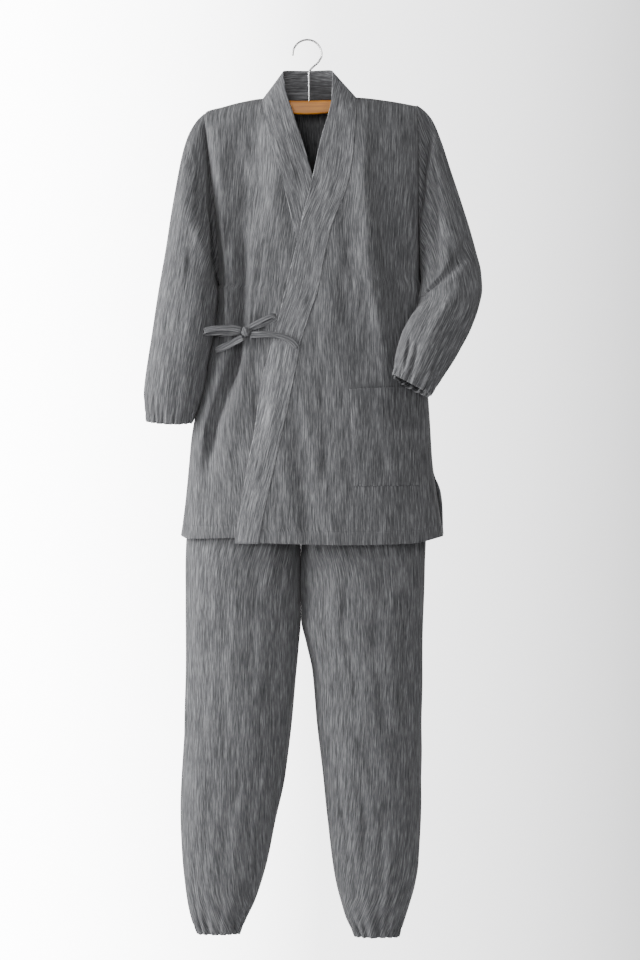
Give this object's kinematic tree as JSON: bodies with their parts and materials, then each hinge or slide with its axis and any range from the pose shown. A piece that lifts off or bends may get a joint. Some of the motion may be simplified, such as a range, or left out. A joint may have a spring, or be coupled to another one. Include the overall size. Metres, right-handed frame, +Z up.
{
  "type": "samue on a clothes hanger",
  "caption": "Wrap-front work jacket with gathered cuffs and tapered gathered-ankle trousers, hung together from a flat bar hanger with a wire hook.",
  "frame": {"origin": "inside the crown of the hanger hook, where a rail or peg bears", "axes": "+Z up along the hanger stem; -Y out of the front of the garment; +X towards the wearer's left sleeve"},
  "size_m": [0.5815, 0.2116, 1.5514],
  "materials": {
    "slub_cotton": "matte slub weave with fine uneven dark and light streaks along the grain",
    "bar_wood": "satin varnished",
    "hook_steel": "polished, nickel plated"
  },
  "bodies": {
    "root": {"jacket_back": "slub_cotton", "jacket_front_left": "slub_cotton", "jacket_front_right": "slub_cotton", "collar": "slub_cotton", "sleeve_right": "slub_cotton", "sleeve_left": "slub_cotton", "pocket": "slub_cotton", "trouser_leg_right": "slub_cotton", "trouser_leg_left": "slub_cotton", "waistband": "slub_cotton", "tie_front": "slub_cotton", "bow_loop_left": "slub_cotton", "tie_side": "slub_cotton", "bow_loop_right": "slub_cotton", "bow_tail": "slub_cotton", "bow_knot": "slub_cotton", "hanger_bar": "bar_wood", "hanger_hook": "hook_steel"}
  },
  "joints": []
}
